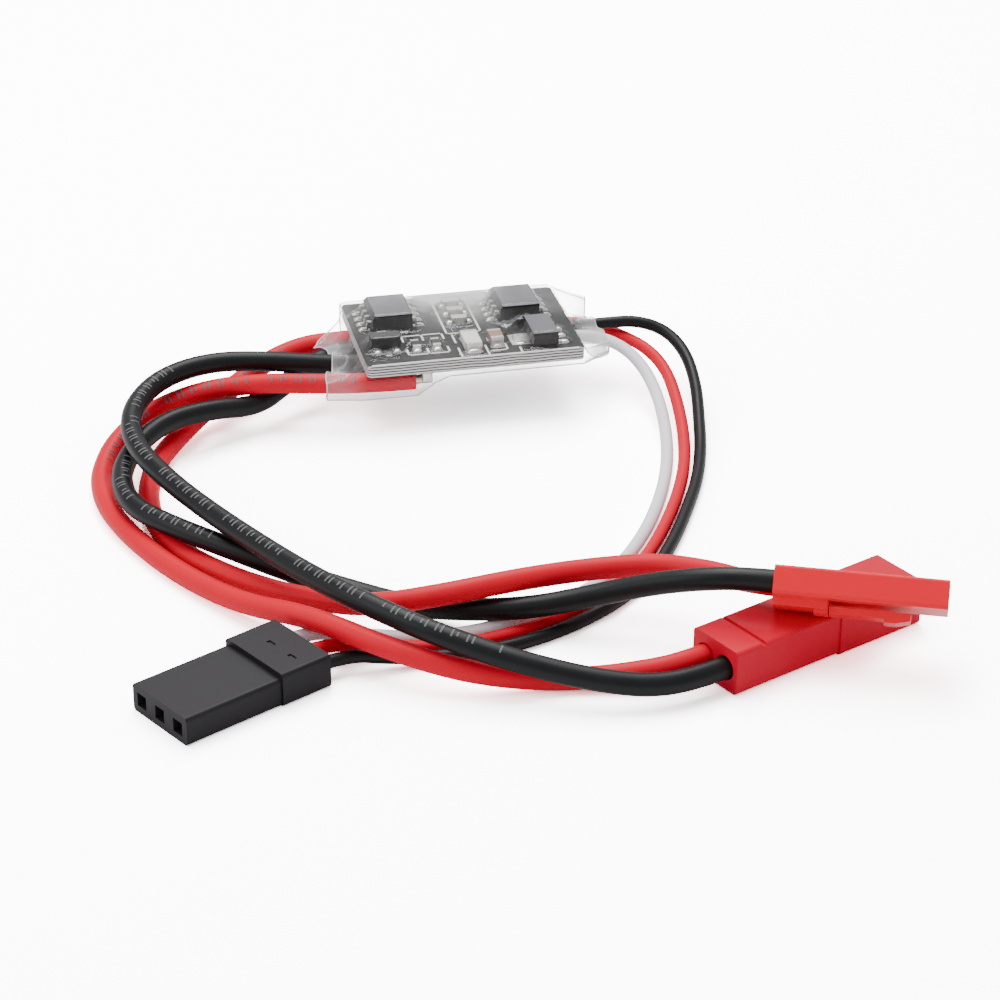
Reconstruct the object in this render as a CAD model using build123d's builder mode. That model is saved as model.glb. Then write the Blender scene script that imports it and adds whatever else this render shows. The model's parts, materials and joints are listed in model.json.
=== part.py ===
"""Micro two-way brushed speed controller: a small circuit board in clear shrink film, two red
and two black power wires with two-way connectors, and a three-wire control lead with its plug.

Millimetres, +Z up. The origin is the centre of the film's flat underside, where the tape goes.
+X points along the board towards the control lead, and the power wires leave at -X.
"""

import os
from math import cos, radians, sin, tan

from build123d import *

# Board and film
BOARD_LENGTH = 21.6
BOARD_WIDTH = 15.0
BOARD_THICKNESS = 1.2
BOARD_CORNER = 0.5
FILM = 0.2
UNDERSIDE_GAP = 2.1
BOARD_Z = FILM + UNDERSIDE_GAP
TOP_Z = BOARD_Z + BOARD_THICKNESS
# The film's cross-sections: x, half width, lowest z, where its side ends, top z
FILM_SECTIONS = [
    (-14.4, 7.4, -0.5, 3.6, 4.7),
    (-10.0, 8.0, 0.0, 3.9, 5.4),
    (9.8, 8.0, 0.0, 3.9, 5.4),
    (14.0, 7.4, -0.2, 3.4, 4.3),
]

# Packages on the board
CHIP_GAP = 0.1
LEAD = 0.2
PAD = 0.05
MOSFET_BODY = (4.0, 5.0, 1.5)
MOSFET_PLACES = {"mosfet_left": (-6.85, 2.95), "mosfet_right": (6.0, 2.7)}
MOSFET_PITCH = 1.27
PIN_ONE_BEVEL = 0.35
REGULATOR_BODY = (2.5, 4.5, 1.3)
REGULATOR_PLACE = (7.1, -4.3)
TRANSISTOR_BODY = (2.9, 1.5, 1.0)
TRANSISTOR_PLACE = (-8.3, -3.1)
CONTROLLER_BODY = (4.4, 6.5, 0.95)
CONTROLLER_PLACE = (1.2, 0.0)
CONTROLLER_PITCH = 0.65
LED_BODY = (1.6, 3.2, 0.9)
LED_PLACE = (0.0, -4.55)
CAPACITOR_BODY = (1.25, 2.0, 1.0)
CAPACITOR_PLACE = (2.45, -4.5)
RESISTOR_BODY = (0.8, 1.6, 0.45)
RESISTOR_PLACES = [(-5.4, -3.9), (-3.4, -3.9)]
SMALL_BODY = (1.6, 0.8, 0.75)
SMALL_PLACES = [(-0.1, 4.7), (-0.1, 2.7), (-0.1, 0.7)]
END_CAP = 0.35

# Wires
POWER_WIRE = 2.0
POWER_CORE = 0.9
CONTROL_WIRE = 1.2
CONTROL_CORE = 0.5
CORE_LENGTH = 1.7
BEND_SHARE = 0.45
# The surface that the wires and plugs lie on, below the film's underside
TABLE_Z = -3.7

# Connectors, each with x from its wire end to its mating end
CONTROL_PLUG = (14.6, 7.6, 2.6)
CONTROL_REAR = (5.0, 8.0, 3.1)
CONTROL_PITCH = 2.54
CONTROL_ANGLE = 28.0
BATTERY_REAR = (11.5, 5.7, 4.1)
BATTERY_SHROUD = (9.3, 6.0, 4.3)
BATTERY_CAVITY = (8.8, 5.1, 2.8)
BATTERY_ANGLE = 24.0
RECEPTACLE = (14.6, 5.0, 2.5)
RECEPTACLE_RIB = (4.6, 3.0, 0.8)
RECEPTACLE_ANGLE = -23.0
RECEPTACLE_ROLL = 38.0
POWER_PITCH = 2.5
ENTRY_DEPTH = 1.5
LATCH_ARM = (6.8, 2.2, 0.6)
LATCH_GAP = 0.5
LATCH_START = 4.8
LATCH_STUB = 1.2
LATCH_HOOK = 0.3
CONTACT_CHANNEL = 1.5
POWER_PIN = 0.64
PIN_ROOT = 2.0
CONTROL_HOLE = 1.25
CONTROL_HOLE_DEPTH = 9.0
CONTROL_WIRE_HEIGHT = 1.55
WIRE_PLAY = 0.1

os.makedirs("parts", exist_ok=True)


def write(piece, name):
    """Label a finished piece and write it as its own node."""
    piece.label = name
    export_step(piece, f"parts/{name}.step")


def lying_frame(x, y, angle):
    """A connector's frame on the table: x towards its mating end, z up."""
    heading = (cos(radians(angle)), sin(radians(angle)), 0)
    return Plane(origin=(x, y, TABLE_Z), x_dir=heading, z_dir=(0, 0, 1))


def rolled_frame(x, y, height, angle, roll):
    """A connector's frame whose far side is rolled down about its long axis."""
    turn = radians(angle)
    lean = radians(roll)
    heading = (cos(turn), sin(turn), 0)
    upright = (-sin(turn) * sin(lean), cos(turn) * sin(lean), cos(lean))
    return Plane(origin=(x, y, TABLE_Z + height), x_dir=heading, z_dir=upright)


CONTROL_FRAME = lying_frame(-24.2, -49.4, CONTROL_ANGLE + 180)
BATTERY_FRAME = lying_frame(9.15, -59.1, BATTERY_ANGLE)
RECEPTACLE_FRAME = rolled_frame(15.3, -55.4, 6.9, RECEPTACLE_ANGLE, RECEPTACLE_ROLL)


# ---------------------------------------------------------------- board and packages
with BuildPart() as circuit_board:
    with BuildSketch(Plane.XY.offset(BOARD_Z)):
        RectangleRounded(BOARD_LENGTH, BOARD_WIDTH, BOARD_CORNER)
    extrude(amount=BOARD_THICKNESS)
write(circuit_board.part, "circuit_board")


def blocks_on(plane, size, places, lift=0.0):
    """Blocks that stand on a plane, one at each place."""
    with BuildPart() as blocks:
        with BuildSketch(plane.offset(lift)):
            with Locations(*places):
                Rectangle(size[0], size[1])
        extrude(amount=size[2])
    return blocks.part


def gull_leads(plane, body, width, count, pitch, reach):
    """Two rows of bent leads, from a body's long sides down to the plane it stands on."""
    side = body[0] / 2
    middle = CHIP_GAP + body[2] / 2
    section = Plane(origin=plane.origin, x_dir=plane.x_dir, z_dir=-plane.y_dir)
    with BuildPart() as leads:
        for index in range(count):
            along = (index - (count - 1) / 2) * pitch
            with BuildSketch(section.offset(along)):
                with BuildLine():
                    Polyline(
                        (side, middle - LEAD / 2),
                        (side + 0.3, middle - LEAD / 2),
                        (side + 0.4, PAD),
                        (side + reach, PAD),
                        (side + reach, PAD + LEAD),
                        (side + 0.55, PAD + LEAD),
                        (side + 0.45, middle + LEAD / 2),
                        (side, middle + LEAD / 2),
                        close=True,
                    )
                make_face()
                mirror(about=Plane.YZ)
            extrude(amount=width / 2, both=True)
    return leads.part


TOP = Plane.XY.offset(TOP_Z)
UNDERSIDE = Plane(origin=(0, 0, BOARD_Z), x_dir=(1, 0, 0), z_dir=(0, 0, -1))

for name, (x, y) in MOSFET_PLACES.items():
    place = Plane(origin=(x, y, TOP_Z))
    with BuildPart() as body:
        with BuildSketch(place.offset(CHIP_GAP)):
            Rectangle(MOSFET_BODY[0], MOSFET_BODY[1])
        extrude(amount=MOSFET_BODY[2])
        pin_one_edge = body.faces().sort_by(Axis.Z)[-1].edges().sort_by(Axis.X)[0]
        chamfer(pin_one_edge, PIN_ONE_BEVEL)
    write(body.part, f"{name}_body")
    write(gull_leads(place, MOSFET_BODY, 0.42, 4, MOSFET_PITCH, 1.0), f"{name}_leads")

# The regulator's tab comes out at its middle side, with three leads along the other
regulator = Plane(origin=(*REGULATOR_PLACE, TOP_Z))
write(blocks_on(regulator, REGULATOR_BODY, [(0, 0)], PAD + LEAD), "regulator_body")
with BuildPart() as regulator_tab:
    with BuildSketch(regulator.offset(PAD)):
        with Locations((-1.2, 0)):
            Rectangle(2.9, 1.7)
        with Locations((1.2, -1.5), (1.2, 0), (1.2, 1.5)):
            Rectangle(1.6, 0.5)
        Rectangle(1.0, 3.4)
    extrude(amount=LEAD)
write(regulator_tab.part, "regulator_tab")

transistor = Plane(origin=(*TRANSISTOR_PLACE, TOP_Z))
write(blocks_on(transistor, TRANSISTOR_BODY, [(0, 0)], PAD + LEAD), "transistor_body")
with BuildPart() as transistor_leads:
    with BuildSketch(transistor.offset(PAD)):
        with Locations((-0.95, -0.9), (0.95, -0.9), (0, 0.9)):
            Rectangle(0.45, 0.9)
    extrude(amount=LEAD)
write(transistor_leads.part, "transistor_leads")

# The microcontroller hangs on the underside
controller = Plane(origin=(*CONTROLLER_PLACE, BOARD_Z), x_dir=(1, 0, 0), z_dir=(0, 0, -1))
write(blocks_on(controller, CONTROLLER_BODY, [(0, 0)], CHIP_GAP), "controller_body")
write(gull_leads(controller, CONTROLLER_BODY, 0.25, 10, CONTROLLER_PITCH, 0.9), "controller_leads")


def chip_part(size, places, caps_along_y):
    """Small blocks on the board, and the metal caps that stand against both ends of each."""
    long_side = size[1] if caps_along_y else size[0]
    reach = (long_side - END_CAP) / 2
    middles = blocks_on(
        TOP,
        (size[0], long_side - 2 * END_CAP, size[2]) if caps_along_y
        else (long_side - 2 * END_CAP, size[1], size[2]),
        places,
        PAD,
    )
    cap_places = []
    for x, y in places:
        for end in (-reach, reach):
            cap_places.append((x, y + end) if caps_along_y else (x + end, y))
    cap = (size[0], END_CAP, size[2]) if caps_along_y else (END_CAP, size[1], size[2])
    return middles, blocks_on(TOP, cap, cap_places, PAD)


resistors, resistor_caps = chip_part(RESISTOR_BODY, RESISTOR_PLACES, True)
write(resistors, "chip_resistors")
write(resistor_caps, "chip_resistor_caps")
small_chips, small_chip_caps = chip_part(SMALL_BODY, SMALL_PLACES, False)
write(small_chips, "chip_capacitors")
write(small_chip_caps, "chip_capacitor_caps")
capacitor, capacitor_caps = chip_part(CAPACITOR_BODY, [CAPACITOR_PLACE], True)
write(capacitor, "brown_capacitor")
write(capacitor_caps, "brown_capacitor_caps")
led, led_caps = chip_part(LED_BODY, [LED_PLACE], True)
write(led, "status_lamp")
write(led_caps, "status_lamp_caps")

# Bare tinned pads under every lead and cap, on both faces of the board
with BuildPart() as pads:
    with BuildSketch(TOP):
        for x, y in MOSFET_PLACES.values():
            with Locations((x, y)):
                with GridLocations(MOSFET_BODY[0] + 1.5, MOSFET_PITCH, 2, 4):
                    Rectangle(1.1, 0.6)
        with Locations(REGULATOR_PLACE):
            with Locations((-2.2, 0)):
                Rectangle(1.9, 2.4)
            with Locations((1.8, -1.5), (1.8, 0), (1.8, 1.5)):
                Rectangle(1.1, 0.8)
        with Locations(TRANSISTOR_PLACE):
            with Locations((-0.95, -1.2), (0.95, -1.2), (0, 1.2)):
                Rectangle(0.8, 0.9)
        for places, size in ((RESISTOR_PLACES, RESISTOR_BODY), ([LED_PLACE], LED_BODY),
                             ([CAPACITOR_PLACE], CAPACITOR_BODY)):
            with Locations(*places):
                with GridLocations(1, size[1] - 0.2, 1, 2):
                    Rectangle(size[0] + 0.1, 0.7)
        with Locations(*SMALL_PLACES):
            with GridLocations(SMALL_BODY[0] - 0.2, 1, 2, 1):
                Rectangle(0.7, SMALL_BODY[1] + 0.1)
    extrude(amount=PAD)
    with BuildSketch(UNDERSIDE):
        with Locations(CONTROLLER_PLACE):
            with GridLocations(CONTROLLER_BODY[0] + 1.3, CONTROLLER_PITCH, 2, 10):
                Rectangle(0.9, 0.35)
    extrude(amount=PAD)
write(pads.part, "board_pads")

# ---------------------------------------------------------------- shrink film
with BuildPart() as shrink_film:
    for inset, mode in ((0.0, Mode.ADD), (FILM, Mode.SUBTRACT)):
        for first, last in zip(FILM_SECTIONS, FILM_SECTIONS[1:]):
            for x, half, low, side, top in (first, last):
                with BuildSketch(Plane(origin=(x, 0, 0), x_dir=(0, 1, 0), z_dir=(1, 0, 0))):
                    with BuildLine():
                        Polyline(
                            (-half + inset, low + inset),
                            (half - inset, low + inset),
                            (half - inset, side),
                            (half - 1.1 - inset, top - inset),
                            (-half + 1.1 + inset, top - inset),
                            (-half + inset, side),
                            close=True,
                        )
                    make_face()
            loft(ruled=True, mode=mode)
write(shrink_film.part, "shrink_film")

# ---------------------------------------------------------------- wires
# Each route's heights are above the table, and its last run goes into a connector's rear
ROUTES = {
    "battery_negative_wire": [
        (-6.5, -2.2, 4.95), (-11.0, -2.0, 4.95), (-15.5, -1.9, 5.5), (-20.2, -1.5, 6.1),
        (-25.0, -1.1, 6.3), (-29.6, -2.9, 6.2), (-32.8, -6.6, 5.9), (-34.4, -11.6, 5.7),
        (-34.1, -17.2, 5.5), (-32.0, -23.3, 5.3), (-29.2, -29.5, 5.1), (-26.0, -36.0, 5.1),
        (-22.6, -42.8, 5.3), (-19.0, -48.9, 5.6), (-14.6, -53.9, 5.2), (-9.4, -57.3, 4.1),
        (-4.4, -59.6, 3.1), (-0.4, -61.1, 2.5), (3.4, -61.8, 2.1), (7.4, -61.2, 2.1),
        (11.0, -59.6, 2.1),
    ],
    "battery_positive_wire": [
        (-6.0, -6.4, 4.95), (-10.5, -6.3, 4.95), (-15.0, -5.6, 5.0), (-20.5, -4.2, 5.0),
        (-26.0, -3.0, 4.3), (-31.3, -3.8, 3.1), (-35.4, -7.3, 1.8), (-37.6, -13.0, 1.05),
        (-37.5, -19.0, 1.0), (-35.9, -25.2, 1.0), (-32.5, -32.9, 1.0), (-28.0, -40.2, 1.5),
        (-23.0, -46.8, 3.4), (-17.8, -52.9, 3.3), (-12.0, -56.2, 2.2), (-6.4, -57.1, 1.2),
        (-1.6, -57.7, 1.0), (2.4, -58.5, 1.5), (6.4, -58.9, 2.1), (10.0, -57.3, 2.1),
    ],
    "motor_positive_wire": [
        (-6.5, 4.0, 4.95), (-11.0, 3.9, 4.95), (-15.3, 4.3, 4.7), (-19.6, 2.9, 3.7),
        (-24.2, -1.0, 2.5), (-28.6, -5.8, 1.5), (-31.8, -10.8, 1.1), (-33.4, -16.2, 1.0),
        (-33.7, -22.4, 1.0), (-32.3, -28.2, 1.0), (-29.2, -33.1, 1.0), (-25.6, -37.2, 1.1),
        (-21.8, -41.4, 1.8), (-17.4, -45.1, 2.8), (-11.4, -46.7, 4.1), (-4.6, -46.1, 4.5),
        (2.2, -45.3, 4.3), (7.4, -46.9, 5.0), (11.0, -50.4, 5.8), (13.9, -53.7, 6.1),
        (17.1, -55.1, 6.1),
    ],
    "motor_negative_wire": [
        (-6.5, 1.7, 4.95), (-10.5, 1.7, 4.95), (-14.6, 0.9, 4.5), (-18.0, -1.8, 3.5),
        (-21.3, -4.7, 2.6), (-25.8, -6.3, 3.4), (-30.6, -8.4, 3.7), (-34.3, -12.6, 3.5),
        (-36.1, -17.8, 3.2), (-35.6, -23.6, 3.2), (-32.2, -28.3, 3.2), (-28.2, -32.4, 3.0),
        (-23.2, -36.0, 1.9), (-18.4, -39.0, 1.1), (-14.0, -42.6, 1.0), (-9.3, -46.0, 1.9),
        (-4.0, -48.0, 2.6), (1.4, -49.2, 3.9), (5.6, -51.2, 5.6), (9.1, -53.6, 7.0),
        (12.7, -55.3, 7.6), (16.3, -56.9, 7.6),
    ],
    "control_ground_wire": [
        (8.5, 1.6, 5.3), (11.8, 1.4, 5.4), (15.1, 1.0, 5.7), (18.3, 0.6, 5.8),
        (21.0, -0.7, 5.0), (22.2, -3.8, 3.8), (21.9, -8.6, 2.6), (20.8, -13.6, 1.6),
        (19.5, -18.9, 0.8), (17.6, -24.4, 0.6), (15.0, -30.0, 0.6), (12.2, -35.5, 0.6),
        (8.9, -40.8, 0.6), (4.5, -45.2, 0.6), (-0.9, -48.7, 0.6), (-6.6, -50.7, 0.6),
        (-12.2, -51.2, 0.6), (-16.7, -51.0, 1.0), (-20.8, -50.5, 1.55), (-24.3, -52.3, 1.55),
    ],
    "control_supply_wire": [
        (8.5, 3.4, 5.3), (11.5, 3.4, 5.1), (14.4, 2.9, 4.6), (16.8, 0.8, 4.2),
        (18.6, -2.0, 3.9), (19.6, -5.6, 3.2), (19.4, -10.5, 2.2), (18.6, -16.0, 1.3),
        (17.2, -21.4, 0.7), (15.0, -26.9, 0.6), (12.3, -32.4, 0.6), (9.2, -37.7, 0.6),
        (5.3, -42.4, 0.6), (0.3, -46.1, 0.6), (-5.4, -48.6, 0.6), (-11.6, -49.6, 0.6),
        (-17.4, -48.9, 0.9), (-22.0, -48.2, 1.55), (-25.5, -50.1, 1.55),
    ],
    "control_signal_wire": [
        (8.5, -0.2, 5.3), (11.2, -0.2, 5.2), (13.9, -0.4, 4.9), (16.1, -1.9, 4.3),
        (17.4, -4.6, 3.4), (17.8, -8.4, 2.4), (17.4, -13.2, 1.5), (16.4, -18.2, 0.8),
        (14.8, -23.2, 0.6), (12.6, -28.5, 0.6), (9.9, -33.7, 0.6), (6.7, -38.4, 0.6),
        (2.8, -42.4, 0.6), (-2.2, -45.4, 0.6), (-7.7, -47.4, 0.6), (-13.2, -47.8, 0.6),
        (-18.8, -46.5, 0.9), (-23.2, -46.0, 1.55), (-26.7, -47.9, 1.55),
    ],
}
WIRES = {
    "battery_negative_wire": POWER_WIRE,
    "battery_positive_wire": POWER_WIRE,
    "motor_positive_wire": POWER_WIRE,
    "motor_negative_wire": POWER_WIRE,
    "control_ground_wire": CONTROL_WIRE,
    "control_supply_wire": CONTROL_WIRE,
    "control_signal_wire": CONTROL_WIRE,
}

for name, diameter in WIRES.items():
    points = [Vector(x, y, z + TABLE_Z) for x, y, z in ROUTES[name]]
    runs = [end - start for start, end in zip(points, points[1:])]
    radii = []
    for before, after in zip(runs, runs[1:]):
        half_turn = radians(before.get_angle(after)) / 2
        radii.append(BEND_SHARE * min(before.length, after.length) / tan(half_turn))
    with BuildPart() as wire:
        with BuildLine():
            centre_line = FilletPolyline(*points, radius=radii)
        with BuildSketch(centre_line ^ 0):
            Circle(diameter / 2)
        sweep()
    print(name, "length", round(centre_line.length, 1), "radii", [round(r, 1) for r in radii])
    write(wire.part, name)

# The bared ends run on under the board, each in a blob of solder
for group, core in (("power", POWER_CORE), ("control", CONTROL_CORE)):
    starts = [ROUTES[name][0] for name in WIRES if name.startswith("control") == (group == "control")]
    inward = 1 if group == "power" else -1
    with BuildPart() as cores:
        for x, y, z in starts:
            with BuildSketch(Plane(origin=(x, y, z + TABLE_Z), z_dir=(inward, 0, 0))):
                Circle(core / 2)
            extrude(amount=CORE_LENGTH)
    write(cores.part, f"{group}_wire_ends")
    with BuildPart() as joints:
        for x, y, z in starts:
            middle = x + inward * (CORE_LENGTH / 2 + 0.3)
            with BuildSketch(Plane(origin=(middle, y, BOARD_Z), z_dir=(0, 0, -1))):
                RectangleRounded(CORE_LENGTH - 0.6, core + 0.5, core / 3)
            extrude(amount=BOARD_Z - z - TABLE_Z)
        add(cores.part, mode=Mode.SUBTRACT)
    write(joints.part, f"{group}_solder_joints")

# ---------------------------------------------------------------- connectors
def across(frame, along):
    """The plane across a connector at a distance from its rear: x is its width, y its height."""
    return Plane(origin=frame.origin + frame.x_dir * along, x_dir=frame.y_dir, z_dir=frame.x_dir)


# Control plug: three square holes in its front, a thicker grip at its rear
control_mid = CONTROL_PLUG[2] / 2
control_slots = [(step * CONTROL_PITCH, control_mid) for step in (-1, 0, 1)]
with BuildPart() as control_plug:
    for start, size in ((0.0, CONTROL_REAR), (CONTROL_REAR[0], CONTROL_PLUG)):
        length = size[0] - start
        with BuildSketch(across(CONTROL_FRAME, start)):
            with Locations((0, size[2] / 2)):
                RectangleRounded(size[1], size[2], 0.35)
        extrude(amount=length)
    with BuildSketch(across(CONTROL_FRAME, CONTROL_PLUG[0])):
        with Locations(*control_slots):
            Rectangle(CONTROL_HOLE, CONTROL_HOLE)
    extrude(amount=-CONTROL_HOLE_DEPTH, mode=Mode.SUBTRACT)
    with BuildSketch(across(CONTROL_FRAME, 0)):
        with Locations(*[(step * CONTROL_PITCH, CONTROL_WIRE_HEIGHT) for step in (-1, 0, 1)]):
            Circle(CONTROL_WIRE / 2 + WIRE_PLAY)
    extrude(amount=ENTRY_DEPTH + WIRE_PLAY, mode=Mode.SUBTRACT)
    with BuildSketch(CONTROL_FRAME.offset(CONTROL_REAR[2])):
        with Locations((2.6, -0.8), (2.6, 2.1)):
            Rectangle(0.4, 0.9)
    extrude(amount=-0.12, mode=Mode.SUBTRACT)
write(control_plug.part, "control_plug_housing")
with BuildPart() as control_contacts:
    with BuildSketch(across(CONTROL_FRAME, CONTROL_PLUG[0] - CONTROL_HOLE_DEPTH)):
        with Locations(*[(y, z - CONTROL_HOLE / 2 + LEAD / 2) for y, z in control_slots]):
            Rectangle(CONTROL_HOLE, LEAD)
    extrude(amount=CONTROL_HOLE_DEPTH - 0.8)
write(control_contacts.part, "control_plug_contacts")

# Battery plug: a grip at the rear, and a shroud open at the front around two pins
battery_mid = BATTERY_SHROUD[2] / 2
battery_pins = [(-POWER_PITCH / 2, battery_mid), (POWER_PITCH / 2, battery_mid)]
battery_length = BATTERY_REAR[0] + BATTERY_SHROUD[0]
with BuildPart() as battery_plug:
    with BuildSketch(across(BATTERY_FRAME, 0)):
        with Locations((0, battery_mid)):
            RectangleRounded(BATTERY_REAR[1], BATTERY_REAR[2], 0.4)
    extrude(amount=BATTERY_REAR[0])
    with BuildSketch(across(BATTERY_FRAME, BATTERY_REAR[0])):
        with Locations((0, battery_mid)):
            RectangleRounded(BATTERY_SHROUD[1], BATTERY_SHROUD[2], 0.4)
    extrude(amount=BATTERY_SHROUD[0])
    with BuildSketch(across(BATTERY_FRAME, battery_length)):
        with Locations((0, battery_mid)):
            Rectangle(BATTERY_CAVITY[1], BATTERY_CAVITY[2])
    extrude(amount=-BATTERY_CAVITY[0], mode=Mode.SUBTRACT)
    with BuildSketch(across(BATTERY_FRAME, battery_length - BATTERY_CAVITY[0])):
        with Locations(*battery_pins):
            Rectangle(POWER_PIN, POWER_PIN)
    extrude(amount=-PIN_ROOT, mode=Mode.SUBTRACT)
    with BuildSketch(across(BATTERY_FRAME, 0)):
        with Locations(*battery_pins):
            Circle(POWER_WIRE / 2 + WIRE_PLAY)
    extrude(amount=ENTRY_DEPTH + WIRE_PLAY, mode=Mode.SUBTRACT)
    with BuildSketch(BATTERY_FRAME.offset(battery_mid + BATTERY_REAR[2] / 2)):
        with Locations((3.0, 0)):
            Rectangle(0.4, BATTERY_REAR[1])
    extrude(amount=-0.25, mode=Mode.SUBTRACT)
write(battery_plug.part, "battery_plug_housing")
with BuildPart() as battery_plug_pins:
    with BuildSketch(across(BATTERY_FRAME, battery_length - BATTERY_CAVITY[0] - PIN_ROOT)):
        with Locations(*battery_pins):
            Rectangle(POWER_PIN, POWER_PIN)
    extrude(amount=PIN_ROOT + BATTERY_CAVITY[0] - 1.5)
write(battery_plug_pins.part, "battery_plug_pins")

# Motor receptacle: two contacts in channels, and a latch arm along the side that faces down
contact_places = [(-POWER_PITCH / 2, 0), (POWER_PITCH / 2, 0)]
with BuildPart() as receptacle:
    with BuildSketch(across(RECEPTACLE_FRAME, 0)):
        RectangleRounded(RECEPTACLE[1], RECEPTACLE[2], 0.3)
    extrude(amount=RECEPTACLE[0])
    with BuildSketch(across(RECEPTACLE_FRAME, 0)):
        with Locations((0, -RECEPTACLE[2] / 2 - RECEPTACLE_RIB[2] / 2 + 0.1)):
            Rectangle(RECEPTACLE_RIB[1], RECEPTACLE_RIB[2] + 0.2)
    extrude(amount=RECEPTACLE_RIB[0])
    with BuildSketch(across(RECEPTACLE_FRAME, LATCH_START - LATCH_STUB - 0.1)):
        with Locations((0, -RECEPTACLE[2] / 2 - (LATCH_GAP + LATCH_ARM[2]) / 2)):
            Rectangle(LATCH_ARM[1], LATCH_GAP + LATCH_ARM[2])
    extrude(amount=LATCH_STUB)
    with BuildSketch(across(RECEPTACLE_FRAME, RECEPTACLE[0])):
        with Locations(*contact_places):
            Rectangle(CONTACT_CHANNEL, CONTACT_CHANNEL)
    extrude(amount=-(RECEPTACLE[0] - ENTRY_DEPTH - 0.4), mode=Mode.SUBTRACT)
    with BuildSketch(across(RECEPTACLE_FRAME, 0)):
        with Locations(*contact_places):
            Circle(POWER_WIRE / 2 + WIRE_PLAY)
    extrude(amount=ENTRY_DEPTH + WIRE_PLAY, mode=Mode.SUBTRACT)
write(receptacle.part, "receptacle_housing")
with BuildPart() as receptacle_contacts:
    contact_start = ENTRY_DEPTH + 0.4
    with BuildSketch(across(RECEPTACLE_FRAME, contact_start)):
        with Locations(*contact_places):
            Rectangle(CONTACT_CHANNEL - 0.1, CONTACT_CHANNEL - 0.1)
            Rectangle(CONTACT_CHANNEL - 0.6, CONTACT_CHANNEL - 0.6, mode=Mode.SUBTRACT)
    extrude(amount=RECEPTACLE[0] - contact_start - 1.6)
write(receptacle_contacts.part, "receptacle_contacts")
with BuildPart() as receptacle_latch:
    arm_top = -RECEPTACLE[2] / 2 - LATCH_GAP
    arm_side = Plane(
        origin=RECEPTACLE_FRAME.origin,
        x_dir=RECEPTACLE_FRAME.x_dir,
        z_dir=-RECEPTACLE_FRAME.y_dir,
    )
    with BuildSketch(arm_side):
        with BuildLine():
            Polyline(
                (LATCH_START, arm_top),
                (LATCH_START + LATCH_ARM[0], arm_top),
                (LATCH_START + LATCH_ARM[0], arm_top - LATCH_ARM[2]),
                (LATCH_START + LATCH_ARM[0] - 1.2, arm_top - LATCH_ARM[2] - LATCH_HOOK),
                (LATCH_START + LATCH_ARM[0] - 2.2, arm_top - LATCH_ARM[2] - LATCH_HOOK),
                (LATCH_START + LATCH_ARM[0] - 2.2, arm_top - LATCH_ARM[2]),
                (LATCH_START, arm_top - LATCH_ARM[2]),
                close=True,
            )
        make_face()
    extrude(amount=LATCH_ARM[1] / 2, both=True)
write(receptacle_latch.part, "receptacle_latch")
hinge = RECEPTACLE_FRAME.from_local_coords((LATCH_START, 0, arm_top - LATCH_ARM[2] / 2))
print("latch hinge", hinge, "axis", RECEPTACLE_FRAME.y_dir)
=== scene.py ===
"""Looks of the micro speed controller: draped clear film, printed board, silicone wires, plugs."""

import json
from math import cos, pi, radians, sin

import bpy
import numpy as np
from mathutils import Matrix, Vector


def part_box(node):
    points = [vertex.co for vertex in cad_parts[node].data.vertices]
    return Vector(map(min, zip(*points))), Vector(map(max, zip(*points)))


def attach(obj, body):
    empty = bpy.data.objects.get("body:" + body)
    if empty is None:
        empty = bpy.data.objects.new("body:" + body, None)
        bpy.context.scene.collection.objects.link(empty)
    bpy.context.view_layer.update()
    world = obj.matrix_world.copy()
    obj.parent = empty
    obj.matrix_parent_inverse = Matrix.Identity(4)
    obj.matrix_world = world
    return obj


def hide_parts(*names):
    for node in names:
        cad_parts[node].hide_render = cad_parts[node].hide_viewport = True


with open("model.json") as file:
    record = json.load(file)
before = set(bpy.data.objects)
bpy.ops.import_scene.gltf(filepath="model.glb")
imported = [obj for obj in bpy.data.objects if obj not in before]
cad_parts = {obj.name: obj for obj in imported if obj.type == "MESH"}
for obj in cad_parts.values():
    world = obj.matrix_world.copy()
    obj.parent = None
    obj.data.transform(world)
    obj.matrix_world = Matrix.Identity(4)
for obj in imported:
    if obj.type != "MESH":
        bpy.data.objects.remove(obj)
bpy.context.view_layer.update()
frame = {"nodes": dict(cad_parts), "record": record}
MM = 0.001

# The board's faces and the surface that the wires lie on, in millimetres above the film's underside
TABLE_Z = -3.7
BOARD_Z = 2.3
TOP_Z = 3.5


# ---------------------------------------------------------------- camera and light
def aim(azimuth, elevation, roll):
    """A rotation that looks along azimuth (0 is +Y) and down by elevation, in degrees."""
    turn = radians(azimuth)
    drop = radians(elevation)
    forward = Vector((sin(turn) * cos(drop), cos(turn) * cos(drop), -sin(drop)))
    right = forward.cross(Vector((0, 0, 1))).normalized()
    upright = right.cross(forward)
    basis = Matrix((right, upright, -forward)).transposed()
    return basis @ Matrix.Rotation(radians(roll), 3, "Z"), forward


CAMERA_TARGET = Vector((-1.28, -23.43, TABLE_Z)) * MM
CAMERA_DISTANCE = 280.6 * MM
CAMERA_AZIMUTH = 12.75
CAMERA_ELEVATION = 28.06
CAMERA_ROLL = 0.29
WORLD_STRENGTH = 0.7
camera_turn, camera_forward = aim(CAMERA_AZIMUTH, CAMERA_ELEVATION, CAMERA_ROLL)
camera = bpy.data.objects.new("camera", bpy.data.cameras.new("camera"))
bpy.context.scene.collection.objects.link(camera)
camera.data.lens = 108
camera.data.sensor_width = 36
camera.data.clip_start = 0.01
camera.matrix_world = Matrix.LocRotScale(
    CAMERA_TARGET - camera_forward * CAMERA_DISTANCE, camera_turn, None
)
bpy.context.scene.camera = camera


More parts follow.
